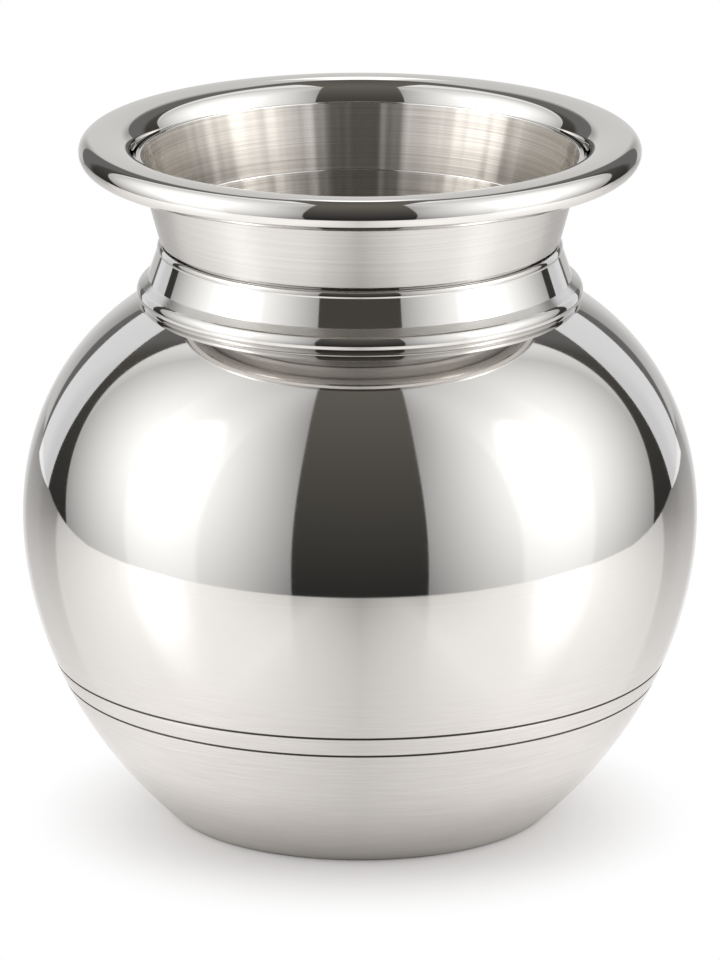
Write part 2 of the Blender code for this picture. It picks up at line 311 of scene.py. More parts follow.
ahead = add(room, "ShaderNodeMath", {0: forward, 1: 0.0}, operation="MAXIMUM")
wall_gap = add(room, "ShaderNodeMath", {0: ahead, 1: GAP_WALL}, operation="MULTIPLY")
roof_gap = add(room, "ShaderNodeMath", {0: upward, 1: GAP_OVERHEAD}, operation="MULTIPLY")
roof_gap = add(room, "ShaderNodeMath", {0: ahead, 1: GAP_ROOF, 2: roof_gap}, operation="MULTIPLY_ADD")
gap = add(room, "ShaderNodeMath", {0: wall_gap, 1: roof_gap, 2: GAP_BEND}, operation="SMOOTH_MAX")
sheet_end = add(room, "ShaderNodeMath", {0: upward, 1: SHEET_END_HEIGHT}, operation="MULTIPLY")
sheet_end = add(room, "ShaderNodeMath", {0: side, 1: SHEET_END_SIDE, 2: sheet_end},
                operation="MULTIPLY_ADD")
before_end = beyond(sheet_end, rearward, SHEET_END_SOFTNESS)
over_end = beyond(above, SHEET_END_TOP, SHEET_TOP_SOFTNESS)
reach = add(room, "ShaderNodeMath", {0: before_end, 1: over_end}, operation="MAXIMUM")
studio = hang(studio, CLOTH, sheet_level, beyond(side, gap, GAP_SOFTNESS), reach)
print("sheets hung, room has", len(room.nodes), "nodes")

# %% [markdown]
# ## The wall at the back
# Past the end of the sheets come a dim ceiling, a pale wall and, high on the wall, a short bright strip
# lamp. The crest of the rim and the body's outline show them. The wall is lit unevenly, as a wall beside
# lit sheets is: brighter low down, high up and in the middle.

# %% Paint the ceiling and the wall
WALL = "#fcfbfa"
CEILING_AROUND = (140 * DEGREE, 171 * DEGREE)
CEILING_SOFTNESS = (4 * DEGREE, 5 * DEGREE)
CEILING_START_SOFTNESS = 0.05
CEILING_LEVEL = 0.18
WALL_START = 154.5 * DEGREE
WALL_LEAN = 0.45
WALL_START_SOFTNESS = 0.8 * DEGREE
WALL_TOP = 47 * DEGREE
WALL_TOP_SOFTNESS = 1.5 * DEGREE
WALL_HEIGHTS = (-4 * DEGREE, 12 * DEGREE)
WALL_LEVELS = (0.7, 0.45)
HIGH_WALL_FROM = 22 * DEGREE
HIGH_WALL_SOFTNESS = 9 * DEGREE
HIGH_WALL_LEVEL = 0.8
WALL_MIDDLE = 166 * DEGREE
WALL_MIDDLE_SOFTNESS = 5 * DEGREE
WALL_MIDDLE_LEVEL = 0.78

studio = hang(studio, WALL, CEILING_LEVEL,
              beyond(around, CEILING_AROUND[0], CEILING_SOFTNESS[0]),
              beyond(CEILING_AROUND[1], around, CEILING_SOFTNESS[1]),
              beyond(rearward, sheet_end, CEILING_START_SOFTNESS))
wall_start = add(room, "ShaderNodeMath", {0: above, 1: WALL_LEAN, 2: WALL_START}, operation="MULTIPLY_ADD")
wall_level = add(room, "ShaderNodeMapRange",
                 {"Value": above, "From Min": WALL_HEIGHTS[0], "From Max": WALL_HEIGHTS[1],
                  "To Min": WALL_LEVELS[0], "To Max": WALL_LEVELS[1]})
wall_level = add(room, "ShaderNodeMapRange",
                 {"Value": beyond(above, HIGH_WALL_FROM, HIGH_WALL_SOFTNESS), "To Min": wall_level,
                  "To Max": HIGH_WALL_LEVEL})
below_ceiling = beyond(WALL_TOP, above, WALL_TOP_SOFTNESS)
studio = hang(studio, WALL, wall_level, beyond(around, wall_start, WALL_START_SOFTNESS), below_ceiling)
studio = hang(studio, WALL, WALL_MIDDLE_LEVEL, beyond(around, WALL_MIDDLE, WALL_MIDDLE_SOFTNESS),
              below_ceiling)
print("wall painted at levels", WALL_LEVELS, "and", WALL_MIDDLE_LEVEL)

# %% Hang the strip lamp and close the room
STRIP_LAMP_AROUND = 177.4 * DEGREE
STRIP_LAMP_ABOVE = (32 * DEGREE, 46 * DEGREE)
STRIP_LAMP_LEVEL = 1.7
STRIP_LAMP_SOFTNESS = 1.0 * DEGREE
STRIP_LAMP_FOOT_SOFTNESS = 1.5 * DEGREE
PLAIN_WHITE = 1.0

studio = hang(studio, CLOTH, STRIP_LAMP_LEVEL,
              beyond(around, STRIP_LAMP_AROUND, STRIP_LAMP_SOFTNESS),
              beyond(above, STRIP_LAMP_ABOVE[0], STRIP_LAMP_FOOT_SOFTNESS),
              beyond(STRIP_LAMP_ABOVE[1], above, STRIP_LAMP_SOFTNESS))
seen_by_lens = add(room, "ShaderNodeLightPath").node.outputs["Is Camera Ray"]
studio = hang(studio, CLOTH, PLAIN_WHITE, seen_by_lens)
room_light = add(room, "ShaderNodeBackground", {"Color": studio})
add(room, "ShaderNodeOutputWorld", {"Surface": room_light})
print("room painted with", len(room.nodes), "nodes")

# %% [markdown]
# ## Curves
# The table, the cards and the rings' sections are drawn with arcs and cubic curves. A cubic curve has a
# start, an end, and two pulls that it leans towards. Blender's curve objects could draw them, but plain
# points are easier to measure and join.

# %% Draw curves


def toward(point, angle, distance):
    """The point that lies a distance away, at an angle from the first axis."""
    return (point[0] + distance * math.cos(angle), point[1] + distance * math.sin(angle))


def arc(centre, radius, start, turn_angle, steps):
    """Points of an arc that turns clockwise from the start angle."""
    return [toward(centre, start - turn_angle * step / steps, radius) for step in range(steps + 1)]


def bezier(start, start_pull, end_pull, end, steps):
    """Points of a cubic curve from start to end, which the two pulls draw towards them."""
    points = []
    for step in range(steps + 1):
        t = step / steps
        weights = ((1 - t) ** 3, 3 * (1 - t) ** 2 * t, 3 * (1 - t) * t ** 2, t ** 3)
        controls = (start, start_pull, end_pull, end)
        points.append(tuple(sum(w * c[axis] for w, c in zip(weights, controls)) for axis in (0, 1)))
    return points


print("middle of a unit arch:", bezier((0, 0), (0, 1), (1, 1), (1, 0), 2)[1])

# %% [markdown]
# ## Table
# The pot stands on a white table whose front edge is round. The belly shows that edge as the horizon
# between its dark strip and its pale lower half, so the table has its real outline and isn't endless.
# One flat face is enough, because nothing shows its thickness.

# %% Cut the table top
TABLE_RADIUS = 318 * MM
TABLE_CENTRE = 38 * MM
TABLE_STEPS = 96
TABLE_WING = (410 * MM, 300 * MM)
TABLE_BACK = 560 * MM
TABLE_DROP = 0.05 * MM

table_edge = arc((0.0, TABLE_CENTRE), TABLE_RADIUS, 0.0, math.pi, TABLE_STEPS)[::-1]
table_edge += [TABLE_WING, (TABLE_WING[0], TABLE_BACK)]
table_edge += [(-TABLE_WING[0], TABLE_BACK), (-TABLE_WING[0], TABLE_WING[1])]
table_mesh = bpy.data.meshes.new("table")
table_mesh.from_pydata([(x, y, -TABLE_DROP) for x, y in table_edge], [], [list(range(len(table_edge)))])
table = bpy.data.objects.new("table", table_mesh)
bpy.context.scene.collection.objects.link(table)
table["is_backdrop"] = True
print("table", 2 * TABLE_RADIUS / MM, "mm wide in front")

# %% [markdown]
# ## Glossy white acrylic
# The table top is cast acrylic with a clear gloss, which mirrors the lit sheets more and more the
# flatter one looks at it. That gloss and painted light give the steel a pale lower half with a faint
# image of the front gap. The painted light is a glow on the top that the lens doesn't see: it is brighter
# to the sides and fainter towards the back, as if the sheets lit it, and near the pot the matt top keeps
# its real shadow.
# For the lens the top is matt, keeps a light contact shadow and fades to plain white further out, so
# that it has no visible edge.

# %% Show the table to the lens
SHADOW_CENTRE = -6 * MM
SHADOW_RADIUS = 30 * MM
WHITE_RADIUS = 56 * MM
LENS_WHITE = 0.18
MATT_WHITE = "#f8f6f5"

acrylic = bpy.data.materials.new("glossy white acrylic")
acrylic.use_nodes = True
top = acrylic.node_tree
top.nodes.clear()
on_top = add(top, "ShaderNodeTexCoord").node.outputs["Object"]
from_shadow = add(top, "ShaderNodeVectorMath", {0: on_top, 1: (0.0, SHADOW_CENTRE, 0.0)}, output=1,
                  operation="DISTANCE")
plain = add(top, "ShaderNodeMapRange",
            {"Value": from_shadow, "From Min": SHADOW_RADIUS, "From Max": WHITE_RADIUS,
             "To Min": LENS_WHITE}, interpolation_type="SMOOTHSTEP")
matt = add(top, "ShaderNodeBsdfDiffuse", {"Color": linear(MATT_WHITE)})
white = add(top, "ShaderNodeEmission", {"Color": linear("#ffffff"), "Strength": PLAIN_WHITE})
for_lens = add(top, "ShaderNodeMixShader", {0: plain, 1: matt, 2: white})
print("shadow fades out by", WHITE_RADIUS / MM, "mm")

# %% Show the table to the steel
# Painted light for the steel: away from the pot's real shadow the top glows, brighter to the sides and
# fainter towards the back.
STEEL_SHADOW_RADIUS = 31 * MM
STEEL_WHITE_RADIUS = 47 * MM
STEEL_WHITE = 0.55
PAINTED_GLOW_WHITE = "#fffdfc"
PAINTED_GLOW_LEVELS = (1.0, 1.75)
PAINTED_GLOW_REACH = 50 * MM
PAINTED_GLOW_FADE = (-30 * MM, 180 * MM)
PAINTED_GLOW_FAR = 0.5
GLOSS_LEAST = 0.02
GLOSS_POWER = 3.0
GLOSS_ROUGHNESS = 0.12

from_axis = add(top, "ShaderNodeVectorMath", {0: on_top}, output=1, operation="LENGTH")
lit = add(top, "ShaderNodeMapRange",
          {"Value": from_axis, "From Min": STEEL_SHADOW_RADIUS, "From Max": STEEL_WHITE_RADIUS,
           "To Max": STEEL_WHITE}, interpolation_type="SMOOTHSTEP")
spot = add(top, "ShaderNodeSeparateXYZ", {"Vector": on_top}).node.outputs
off_middle = add(top, "ShaderNodeMath", {0: spot["X"]}, operation="ABSOLUTE")
painted_glow_level = add(top, "ShaderNodeMapRange", {"Value": off_middle, "From Max": PAINTED_GLOW_REACH,
                                             "To Min": PAINTED_GLOW_LEVELS[0], "To Max": PAINTED_GLOW_LEVELS[1]})
painted_glow_fade = add(top, "ShaderNodeMapRange", {"Value": spot["Y"], "From Min": PAINTED_GLOW_FADE[0],
                                            "From Max": PAINTED_GLOW_FADE[1], "To Min": 1.0, "To Max": PAINTED_GLOW_FAR})
painted_glow_level = add(top, "ShaderNodeMath", {0: painted_glow_level, 1: painted_glow_fade}, operation="MULTIPLY")
# The painted glow itself: light at the painted level, which the lens doesn't see.
painted_glow = add(top, "ShaderNodeEmission", {"Color": linear(PAINTED_GLOW_WHITE), "Strength": painted_glow_level})
for_steel = add(top, "ShaderNodeMixShader", {0: lit, 1: matt, 2: painted_glow})
gloss = add(top, "ShaderNodeBsdfAnisotropic", {"Color": linear("#ffffff"), "Roughness": GLOSS_ROUGHNESS})
facing = add(top, "ShaderNodeLayerWeight").node.outputs["Facing"]
flatness = add(top, "ShaderNodeMath", {0: facing, 1: GLOSS_POWER}, operation="POWER")
mirrored = add(top, "ShaderNodeMath", {0: flatness, 1: 1 - GLOSS_LEAST, 2: GLOSS_LEAST},
               operation="MULTIPLY_ADD")
for_steel = add(top, "ShaderNodeMixShader", {0: mirrored, 1: for_steel, 2: gloss})
lens_ray = add(top, "ShaderNodeLightPath").node.outputs["Is Camera Ray"]
surface = add(top, "ShaderNodeMixShader", {0: lens_ray, 1: for_steel, 2: for_lens})
add(top, "ShaderNodeOutputMaterial", {"Surface": surface})
table_mesh.materials.append(acrylic)
print(acrylic.name, "made with", len(top.nodes), "nodes")

# %% [markdown]
# ## Cards beside the pot
# Metalware photographers stand slips of white card round the object, out of view, to brighten one place
# at a time. Here a card behind each side lights the body's silhouette. It is cut slanting at the back and
# rounded at the top, which the belly shows as a light stripe with a bent end. A card in front of each side
# lights the neck, outside and in. The cards glow and are clear otherwise. Light linking lets a pair shine
# on its own pieces alone, once they are there: cards painted on the far room would show in every piece.
# The lens and the shadows don't see the cards.

# %% Make a pair of cards
CARD_WHITE = "#f9fbff"


def stand_pair(name, place, bearing, outline, level):
    """Stand a lit card on each side of the pot. Its outline runs along a bearing from a place, and up."""
    paper = bpy.data.materials.new(f"white {name} lit from behind")
    paper.use_nodes = True
    graph = paper.node_tree
    graph.nodes.clear()
    lit_card = add(graph, "ShaderNodeEmission", {"Color": linear(CARD_WHITE), "Strength": level})
    clear = add(graph, "ShaderNodeBsdfTransparent")
    both = add(graph, "ShaderNodeAddShader", {0: lit_card, 1: clear})
    add(graph, "ShaderNodeOutputMaterial", {"Surface": both})
    pair = []
    for side_name, sign in (("left", -1), ("right", 1)):
        corners = []
        for along, height in outline:
            x, y = toward(place, bearing, along)
            corners.append((sign * x, y, height))
        mesh = bpy.data.meshes.new(f"{side_name} {name}")
        mesh.from_pydata(corners, [], [list(range(len(corners)))])
        mesh.materials.append(paper)
        card = bpy.data.objects.new(mesh.name, mesh)
        card.visible_camera = False
        card.visible_diffuse = False
        card.visible_shadow = False
        bpy.context.scene.collection.objects.link(card)
        card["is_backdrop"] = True
        pair.append(card)
        print(card.name, "stands beside the pot")
    return pair


print("cards are", CARD_WHITE)

# %% Stand the cards
CARD_PLACE = (340 * MM, 363 * MM)
CARD_BEARING = math.radians(142)
CARD_FRONT = ((-76 * MM, 0.0), (-98 * MM, 90 * MM), (-132 * MM, 290 * MM), (90 * MM, 410 * MM))
CARD_REAR = ((66 * MM, 0.0), (66 * MM, 110 * MM), (66 * MM, 190 * MM), (190 * MM, 262 * MM))
CARD_STEPS = 24
CARD_LEVEL = 0.85
NECK_CARD_PLACE = (383 * MM, -321 * MM)
NECK_CARD_BEARING = math.radians(50)
NECK_CARD_FOOT = [(-230 * MM, 126 * MM), (230 * MM, 126 * MM)]
NECK_CARD_TOP = [(230 * MM, 520 * MM), (-230 * MM, 520 * MM)]
NECK_CARD_LEVEL = 1.0

card_edge = bezier(*CARD_FRONT, CARD_STEPS) + bezier(*CARD_REAR, CARD_STEPS)[::-1]
body_cards = stand_pair("card behind", CARD_PLACE, CARD_BEARING, card_edge, CARD_LEVEL)
neck_cards = stand_pair("card in front", NECK_CARD_PLACE, NECK_CARD_BEARING, NECK_CARD_FOOT + NECK_CARD_TOP,
                        NECK_CARD_LEVEL)

# %% [markdown]
# ## Sections of sheet
# Each ring is drawn as a section beside the axis: a path along one face of the sheet, and the same path
# moved sideways by the sheet's thickness. Corners are rounded as a press rounds them.

# %% Helpers for sections
BEND_STEPS = 6
BEND_SHARE = 0.45
BEND_PULL = 0.6
STRAIGHT = math.radians(89)


def rounded(path, radius, steps=BEND_STEPS):
    """The path with each of its corners rounded to a bend radius, within the straights beside it."""
    points = [path[0]]
    for before, corner, after in zip(path, path[1:], path[2:]):
        entering = math.atan2(before[1] - corner[1], before[0] - corner[0])
        leaving = math.atan2(after[1] - corner[1], after[0] - corner[0])
        half = abs(math.remainder(leaving - entering, math.tau)) / 2
        if half >= STRAIGHT:
            points.append(corner)
            continue
        space = BEND_SHARE * min(math.dist(before, corner), math.dist(after, corner))
        cut = min(radius / math.tan(half), space)
        start = toward(corner, entering, cut)
        end = toward(corner, leaving, cut)
        pull = BEND_PULL * cut
        points += bezier(start, toward(start, entering + math.pi, pull),
                         toward(end, leaving + math.pi, pull), end, steps)
    return points + [path[-1]]


def beside(path, distance):
    """The path moved sideways, to the right of the way it runs."""
    moved = []
    for index, point in enumerate(path):
        before = path[max(index - 1, 0)]
        after = path[min(index + 1, len(path) - 1)]
        into = math.atan2(point[1] - before[1], point[0] - before[0])
        out = math.atan2(after[1] - point[1], after[0] - point[0])
        if index == 0:
            into = out
        if index == len(path) - 1:
            out = into
        half_turn = math.remainder(out - into, math.tau) / 2
        moved.append(toward(point, into + half_turn - math.pi / 2, distance / math.cos(half_turn)))
    return moved


def at_height(curve, height):
    """The point where a falling curve passes a height."""
    for upper, lower in zip(curve, curve[1:]):
        if lower[1] <= height <= upper[1]:
            fall = (upper[1] - height) / (upper[1] - lower[1])
            return (upper[0] + fall * (lower[0] - upper[0]), height)
    return curve[-1]


print("a right-angled bend has", len(rounded([(0, 1), (0, 0), (1, 0)], 0.1)), "points")

# %% [markdown]
# ## Turning
# A Screw modifier could turn a section, but here each stretch of a section carries its own finish, so
# the rings of points are laid out in code and every face knows its stretch.

# %% Turn a section and seat a piece
TURN_STEPS = 192
ON_AXIS = 0.001 * MM
SHARP_ANGLE = math.radians(32)


def turned(name, stretches, finishes):
    """A closed ring turned from stretches of its section, each a list of points and a finish number."""
    outline = [(point, finish) for points, finish in stretches for point in points]
    vertices = []
    rings = []
    for (radius, height), _ in outline:
        count = TURN_STEPS if radius > ON_AXIS else 1
        rings.append(range(len(vertices), len(vertices) + count))
        for step in range(count):
            angle = math.tau * step / TURN_STEPS
            vertices.append((radius * math.cos(angle), radius * math.sin(angle), height))
    faces = []
    face_finishes = []
    for index, ring in enumerate(rings):
        next_ring = rings[(index + 1) % len(rings)]
        if len(ring) == 1 and len(next_ring) == 1:
            continue
        for step in range(TURN_STEPS):
            next_step = (step + 1) % TURN_STEPS
            corners = [ring[step % len(ring)], next_ring[step % len(next_ring)],
                       next_ring[next_step % len(next_ring)], ring[next_step % len(ring)]]
            faces.append(list(dict.fromkeys(corners)))
            face_finishes.append(outline[index][1])
    mesh = bpy.data.meshes.new(name)
    mesh.from_pydata(vertices, [], faces)
    for finish in finishes:
        mesh.materials.append(finish)
    mesh.polygons.foreach_set("material_index", face_finishes)
    mesh.shade_smooth()
    mesh.set_sharp_from_angle(angle=SHARP_ANGLE)
    piece = bpy.data.objects.new(name, mesh)
    bpy.context.scene.collection.objects.link(piece)
    print(f"{name}: {len(mesh.polygons)} faces")
    return piece


def seat(piece, node):
    """Put a piece on the pot's one body, in place of its plain node."""
    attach(piece, "root")
    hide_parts(node)


print("one turn has", TURN_STEPS, "steps")

# %% [markdown]
# ## Lines that turning leaves
# Every finish on the pot was made while it turned on a lathe, so its marks run round the axis. Noise
# that is fine in a point's radius and height, and slow round the pot, gives such marks without a map
# laid on the surface. Its fourth axis keeps the two slow axes apart.

# %% Helpers for every finish
LINE_ROUGHNESS = 0.6
NOISE_LOW, NOISE_HIGH = 0.3, 0.7
LEVEL_PART = (1.0, 1.0, 0.0)


def turning_lines(graph, spacing, length, detail):
    """Noise in rings round the axis: fine across the turning and long along it."""
    place = add(graph, "ShaderNodeTexCoord").node.outputs["Object"]
    xyz = add(graph, "ShaderNodeSeparateXYZ", {"Vector": place}).node.outputs
    level = add(graph, "ShaderNodeVectorMath", {0: place, 1: LEVEL_PART}, operation="MULTIPLY")
    radius = add(graph, "ShaderNodeVectorMath", {0: level}, output=1, operation="LENGTH")
    ring = add(graph, "ShaderNodeCombineXYZ", {"X": radius, "Y": xyz["Z"]})
    fine = add(graph, "ShaderNodeVectorMath", {0: ring, "Scale": 1 / spacing}, operation="SCALE")
    slow = add(graph, "ShaderNodeVectorMath", {0: place, "Scale": 1 / length}, operation="SCALE")
    slow = add(graph, "ShaderNodeSeparateXYZ", {"Vector": slow}).node.outputs
    drift = add(graph, "ShaderNodeCombineXYZ", {"Z": slow["X"]})
    sample = add(graph, "ShaderNodeVectorMath", {0: fine, 1: drift}, operation="ADD")
    return add(graph, "ShaderNodeTexNoise",
               {"Vector": sample, "W": slow["Y"], "Scale": 1.0, "Detail": detail,
                "Roughness": LINE_ROUGHNESS},
               noise_dimensions="4D")


def tint(graph, lines, dark, light):
    """Colour between two shades, picked by the turning lines."""
    share = add(graph, "ShaderNodeMapRange", {"Value": lines, "From Min": NOISE_LOW, "From Max": NOISE_HIGH})
    return add(graph, "ShaderNodeMix", {MIX_FACTOR: share, MIX_A: linear(dark), MIX_B: linear(light)},
               output=MIX_COLOUR, data_type="RGBA")


def steel(name):
    """A bare metal to give a finish to: its graph and its shader."""
    material = bpy.data.materials.new(name)
    material.use_nodes = True
    shader = material.node_tree.nodes["Principled BSDF"]
    shader.inputs["Metallic"].default_value = 1.0
    return material, material.node_tree, shader


print("turning lines use noise from", NOISE_LOW, "to", NOISE_HIGH)

# %% [markdown]
# ## Mirror-polished stainless steel
# The belly, collar and rim were buffed on the lathe with ever finer compound until the grain was
# gone. What is left for the eye is a slightly warm mirror, with the faintest rings where the buffing
# wheel ran. A plain smooth metal would look computed, so the roughness and the surface follow the rings.
# The rim, which a hand touches first, had one more pass on a soft wheel, called colour buffing, which
# leaves it a touch sharper. It is also painted a lighter tone, painted light that makes it the brightest
# ring.

# %% Mix the polished finishes
# Real buffing lines are a few hundredths of a millimetre apart. These are drawn coarser, so they show.
BUFFING_SPACING = 0.45 * MM
BUFFING_LENGTH = 30 * MM
BUFFING_DEPTH = 0.00012 * MM
BUFFING_DETAIL = 2.0
MIRROR_COLOUR = "#d0cecb"
PAINTED_LIGHTER_RIM_COLOUR = "#dad8d5"


def polished_steel(name, colour, low_roughness, high_roughness):
    """Steel of one colour, buffed to a roughness that varies a little from ring to ring."""
    material, graph, shader = steel(name)
    lines = turning_lines(graph, BUFFING_SPACING, BUFFING_LENGTH, BUFFING_DETAIL)
    shader.inputs["Base Color"].default_value = linear(colour)
    roughness = add(graph, "ShaderNodeMapRange",
                    {"Value": lines, "From Min": NOISE_LOW, "From Max": NOISE_HIGH,
                     "To Min": low_roughness, "To Max": high_roughness})
    graph.links.new(roughness, shader.inputs["Roughness"])
    bump = add(graph, "ShaderNodeBump", {"Height": lines, "Distance": BUFFING_DEPTH})
    graph.links.new(bump, shader.inputs["Normal"])
    return material


# Buffed to a mirror: the eye sees a sharp image of the room, slightly warm and a little grey.
mirror = polished_steel("mirror-polished stainless steel", MIRROR_COLOUR, 0.03, 0.06)
# Buffed once more with a soft wheel: the same image, a touch sharper. Its lighter tone is painted light.
bright = polished_steel("colour-buffed stainless steel painted lighter", PAINTED_LIGHTER_RIM_COLOUR, 0.025, 0.05)
print("finishes:", mirror.name, "and", bright.name)

# %% [markdown]
# ## Satin stainless steel, brushed round
# The neck was left as the abrasive belt left it, the inside is rougher still, and the rim's underside
# and back, which no wheel reaches, are as the spinning tool left them. The scratches run round the axis,
# so the steel stays fairly sharp from side to side but smears what it reflects up and down. That is what
# the anisotropy does: the tangent runs round the axis, and the roughness is stretched across it. Bump
# alone would need finer noise than a render can show. Rolling the neck's cone left upright flats inside,
# which streak its reflections.

# %% Mix the brushed finishes
# Real belt scratches are under a tenth of a millimetre apart. These are drawn coarser, so they show.
BRUSH_LENGTH = 45 * MM
BRUSH_DETAIL = 4.0
FLATS_RADIUS = 33 * MM
FLATS_LENGTH = 3.5 * MM
FLATS_DETAIL = 0.6
QUARTER_TURN = 0.25


def brushed_steel(name, spacing, depth, dark, light, roughness, uneven, stretch, flats_depth=0.001 * MM):
    """Steel with scratches of a spacing and depth round it, and upright rolling flats of a depth."""
    material, graph, shader = steel(name)
    lines = turning_lines(graph, spacing, BRUSH_LENGTH, BRUSH_DETAIL)
    graph.links.new(tint(graph, lines, dark, light), shader.inputs["Base Color"])
    scratched = add(graph, "ShaderNodeMapRange",
                    {"Value": lines, "From Min": NOISE_LOW, "From Max": NOISE_HIGH,
                     "To Min": roughness + uneven, "To Max": roughness - uneven})
    graph.links.new(scratched, shader.inputs["Roughness"])
    place = add(graph, "ShaderNodeTexCoord").node.outputs["Object"]
    bearing = add(graph, "ShaderNodeVectorMath", {0: place, 1: LEVEL_PART}, operation="MULTIPLY")
    bearing = add(graph, "ShaderNodeVectorMath", {0: bearing}, operation="NORMALIZE")
    flats = add(graph, "ShaderNodeTexNoise",
                {"Vector": bearing, "Scale": FLATS_RADIUS / FLATS_LENGTH, "Detail": FLATS_DETAIL})
    rolled = add(graph, "ShaderNodeBump", {"Height": flats, "Distance": flats_depth})
    bump = add(graph, "ShaderNodeBump", {"Height": lines, "Distance": depth, "Normal": rolled})
    graph.links.new(bump, shader.inputs["Normal"])
    shader.inputs["Anisotropic"].default_value = stretch
    shader.inputs["Anisotropic Rotation"].default_value = QUARTER_TURN
    tangent = add(graph, "ShaderNodeTangent", direction_type="RADIAL", axis="Z")
    graph.links.new(tangent, shader.inputs["Tangent"])
    return material


# Belted fine: the eye sees a silky band of light that runs on upwards and keeps its side edges.
satin = brushed_steel("satin stainless steel", spacing=0.16 * MM, depth=0.00005 * MM, dark="#cdcbc8",
                      light="#d6d4d1", roughness=0.23, uneven=0.015, stretch=1.0)
# Brushed by hand inside: duller and browner, with streaks of light along the upright flats.
inner = brushed_steel("brushed stainless steel inside", spacing=0.22 * MM, depth=0.0002 * MM,
                      dark="#9a958e", light="#bab5ae", roughness=0.34, uneven=0.03, stretch=0.3,
                      flats_depth=0.4 * MM)
# Left as spun: soft, with no clear image, as under the rim. Its pale tone is painted light, which lightens
# the crescent that the shoulder mirrors of it.
spun = brushed_steel("stainless steel left as spun, painted pale", spacing=0.25 * MM, depth=0.0002 * MM, dark="#dedbd6",
                     light="#eae7e3", roughness=0.42, uneven=0.03, stretch=1.0)
print("finishes:", ", ".join(finish.name for finish in (satin, inner, spun)))

# %% [markdown]
# ## The belted finish and the grooves' painted shade
# Towards its base the bowl was finished with a fine belt and not buffed to a mirror, so fine lines run
# round it there and grow fainter up the wall. One material that blends by height joins the two without
# an edge. The middle of each cut line is painted a dull dark grey: painted shade that keeps the line dark.

# %% Mix the bowl's finish and the grooves' painted shade
# Real belt lines are finer. These are drawn coarser, about as fine as the render can show.
BELT_SPACING = 0.22 * MM
BELT_LENGTH = 9 * MM
BELT_DEPTH = 0.00018 * MM
BELT_DETAIL = 5.0
BELT_FROM = 42 * MM
BELT_FULL = 22 * MM
BELT_COLOURS = ("#cac7c4", "#d6d4d1")
BELT_ROUGHNESS = (0.045, 0.2)
GROOVE_SHADE_COLOUR = "#55524f"
GROOVE_SHADE_ROUGHNESS = 0.5

# Belted low down and buffed above: the image of the table blurs towards the base.
belted, wall_graph, wall_shader = steel("stainless steel, belted low down and buffed above")
belt_lines = turning_lines(wall_graph, BELT_SPACING, BELT_LENGTH, BELT_DETAIL)
on_bowl = add(wall_graph, "ShaderNodeTexCoord").node.outputs["Object"]
bowl_level = add(wall_graph, "ShaderNodeSeparateXYZ", {"Vector": on_bowl}).node.outputs["Z"]
belt_share = add(wall_graph, "ShaderNodeMapRange",
                 {"Value": bowl_level, "From Min": BELT_FROM, "From Max": BELT_FULL},
                 interpolation_type="SMOOTHSTEP")
wall_colour = add(wall_graph, "ShaderNodeMix",
                  {MIX_FACTOR: belt_share, MIX_A: linear(MIRROR_COLOUR),
                   MIX_B: tint(wall_graph, belt_lines, *BELT_COLOURS)},
                  output=MIX_COLOUR, data_type="RGBA")
wall_graph.links.new(wall_colour, wall_shader.inputs["Base Color"])
wall_roughness = add(wall_graph, "ShaderNodeMapRange",
                     {"Value": belt_share, "To Min": BELT_ROUGHNESS[0], "To Max": BELT_ROUGHNESS[1]})
wall_graph.links.new(wall_roughness, wall_shader.inputs["Roughness"])
belt_bump = add(wall_graph, "ShaderNodeBump",
                {"Height": belt_lines, "Distance": BELT_DEPTH, "Strength": belt_share})
wall_graph.links.new(belt_bump, wall_shader.inputs["Normal"])

# Painted shade in a cut line: a thin dull dark grey that keeps the line dark.
groove_shade, _, groove_shade_shader = steel("dull dark grey painted in a groove as shade")
groove_shade_shader.inputs["Base Color"].default_value = linear(GROOVE_SHADE_COLOUR)
groove_shade_shader.inputs["Roughness"].default_value = GROOVE_SHADE_ROUGHNESS
print("finishes:", belted.name, "and", groove_shade.name)

# %% [markdown]
# ## Body curves
# The body is one smooth outline from the collar's seat to the base, made as two halves that meet at the
# widest ring. Both are drawn first, because the bowl's lip takes its place from the shoulder's curve.

# %% Draw the body
BELLY_LOWER_PULL = 15.0 * MM
BASE_RADIUS = 30.75 * MM
BASE_PULL = 23.4 * MM
BASE_ANGLE = math.radians(41.4)
BELLY_UPPER_PULL = 14.4 * MM
SHOULDER_PULL = 15.35 * MM
SHOULDER_ANGLE = math.radians(31.0)
THROAT_RADIUS = 33.2 * MM
SEAT_WIDTH = 2.3 * MM
CURVE_STEPS = 72

belly = (BELLY_RADIUS, BELLY_HEIGHT)
base = (BASE_RADIUS, 0.0)
seat_edge = (THROAT_RADIUS + SEAT_WIDTH, SEAT_HEIGHT)
wall = bezier(belly, (BELLY_RADIUS, BELLY_HEIGHT - BELLY_LOWER_PULL),
              toward(base, BASE_ANGLE, BASE_PULL), base, CURVE_STEPS)
dome = bezier(seat_edge, toward(seat_edge, -SHOULDER_ANGLE, SHOULDER_PULL),
              (BELLY_RADIUS, BELLY_HEIGHT + BELLY_UPPER_PULL), belly, CURVE_STEPS)
print("body drawn with", len(wall) + len(dome), "points")

# %% [markdown]
# ## Lower bowl
# The lower half of the body is one deep-drawn cup. Its wall runs from the widest ring down to a tight
# base edge, and the floor inside the standing ring is pressed up a little so that it can't rock. Two
# fine lines are cut into the wall with a pointed tool. They could be painted, but a real groove catches
# the light from every side, and only the middle of each cut is painted dark, as painted shade. At the top
# the sheet steps in to form the lip that the shoulder is welded over.

